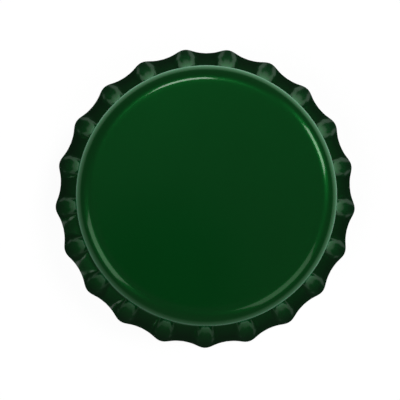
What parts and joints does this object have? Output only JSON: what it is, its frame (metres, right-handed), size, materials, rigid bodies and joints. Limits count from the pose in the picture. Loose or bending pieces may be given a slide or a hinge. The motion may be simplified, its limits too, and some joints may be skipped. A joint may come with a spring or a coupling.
{
  "type": "crown bottle cap",
  "caption": "Uncrimped crown bottle cap with a flat panel, a rounded shoulder, a flared fluted skirt and a moulded sealing liner.",
  "frame": {"origin": "on the axis, in the plane of the tooth tips", "axes": "+Z along the axis, out of the panel; +X through the middle of a tooth"},
  "size_m": [0.0319, 0.032, 0.006],
  "materials": {
    "lacquered_sheet": "gloss green lacquer",
    "liner_compound": "smooth soft compound"
  },
  "bodies": {
    "root": {"crown_shell": "lacquered_sheet", "sealing_liner": "liner_compound"}
  },
  "joints": []
}
